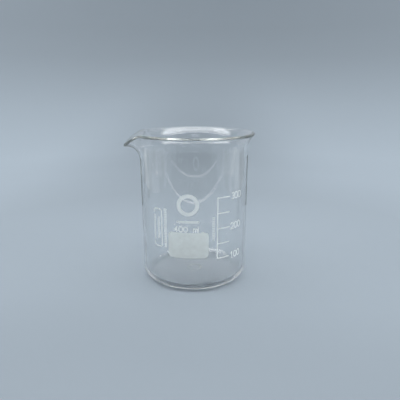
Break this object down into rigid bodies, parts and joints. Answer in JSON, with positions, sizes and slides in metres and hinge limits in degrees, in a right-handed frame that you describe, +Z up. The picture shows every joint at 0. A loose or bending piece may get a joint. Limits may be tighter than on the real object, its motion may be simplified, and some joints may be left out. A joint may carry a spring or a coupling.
{
  "type": "laboratory beaker",
  "caption": "Low-form glass beaker with a flared, beaded rim, a pulled pouring spout and white enamel markings: a writing patch, a volume scale with numerals and plain trim marks.",
  "frame": {"origin": "centre of the underside of the base, on the beaker's axis, in the plane it stands on", "axes": "+Z up along the axis, out of the mouth; the writing patch faces -Y; the spout points 12 degrees round from -X towards -Y"},
  "size_m": [0.0954, 0.0892, 0.11],
  "materials": {
    "clear_glass": "clear, fire-polished borosilicate glass with a faint grey-green tint at the edges",
    "white_enamel": "fired white enamel, satin, slightly uneven"
  },
  "bodies": {
    "root": {"glass_vessel": "clear_glass", "writing_patch": "white_enamel", "capacity_mark": "white_enamel", "plain_bar": "white_enamel", "plain_ring": "white_enamel", "graduation_scale": "white_enamel", "numeral_100": "white_enamel", "numeral_200": "white_enamel", "numeral_300": "white_enamel", "side_frame": "white_enamel", "side_frame_bars": "white_enamel", "left_bars": "white_enamel", "scale_bars": "white_enamel"}
  },
  "joints": []
}
